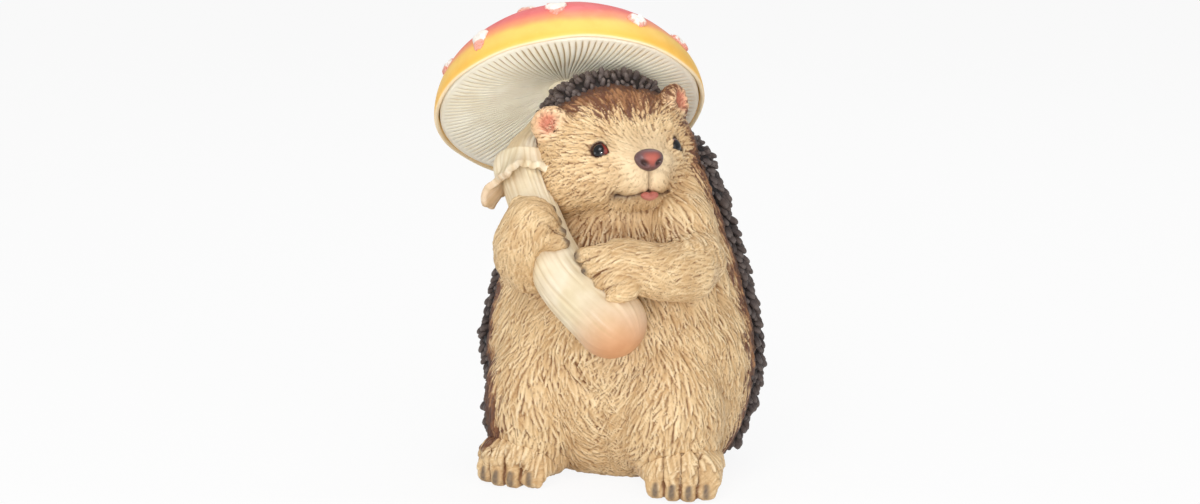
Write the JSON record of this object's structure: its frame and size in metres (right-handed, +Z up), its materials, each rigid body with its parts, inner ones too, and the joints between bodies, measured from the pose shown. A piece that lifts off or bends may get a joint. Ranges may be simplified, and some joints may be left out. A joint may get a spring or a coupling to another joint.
{
  "type": "garden ornament",
  "caption": "Cast resin garden ornament of a sitting hedgehog that hugs a curved toadstool stem and holds its spotted, gilled cap over its head like a parasol.",
  "frame": {"origin": "bottom centre of the bounding box, on the surface the ornament stands on", "axes": "+Z up, the animal's chest faces -Y, its own left side is +X"},
  "size_m": [0.178, 0.1734, 0.2327],
  "materials": {
    "fur": "painted resin with a brown wash in the grooves",
    "quills": "painted resin, dry-brushed",
    "ear_skin": "painted resin",
    "eye": "gloss",
    "nose": "satin varnish",
    "tongue": "satin varnish",
    "stem": "painted resin",
    "gills": "painted resin with a tan wash",
    "cap": "painted resin, yellow at the rim and coral at the top",
    "warts": "painted resin",
    "dowel_steel": "bright",
    "plug_rubber": "matt"
  },
  "bodies": {
    "root": {"torso": "fur", "quill_cape": "quills", "head": "fur", "quill_hood": "quills", "arm_left": "fur", "arm_right": "fur", "foot_left": "fur", "foot_right": "fur", "ear_left": "ear_skin", "ear_right": "ear_skin", "eye_left": "eye", "eye_right": "eye", "nose": "nose", "tongue": "tongue", "stem": "stem", "stem_ring": "stem", "cap": "cap", "gill_disc": "gills", "wart_1": "warts", "wart_2": "warts", "wart_3": "warts", "wart_4": "warts", "wart_5": "warts", "wart_6": "warts", "wart_7": "warts", "wart_8": "warts", "wart_9": "warts", "wart_10": "warts", "wart_11": "warts", "wart_12": "warts", "wart_13": "warts", "wart_14": "warts", "wart_15": "warts", "wart_16": "warts", "cap_dowel": "dowel_steel", "neck_dowel": "dowel_steel", "shoulder_dowel_left": "dowel_steel", "shoulder_dowel_right": "dowel_steel", "base_plug": "plug_rubber"}
  },
  "joints": []
}
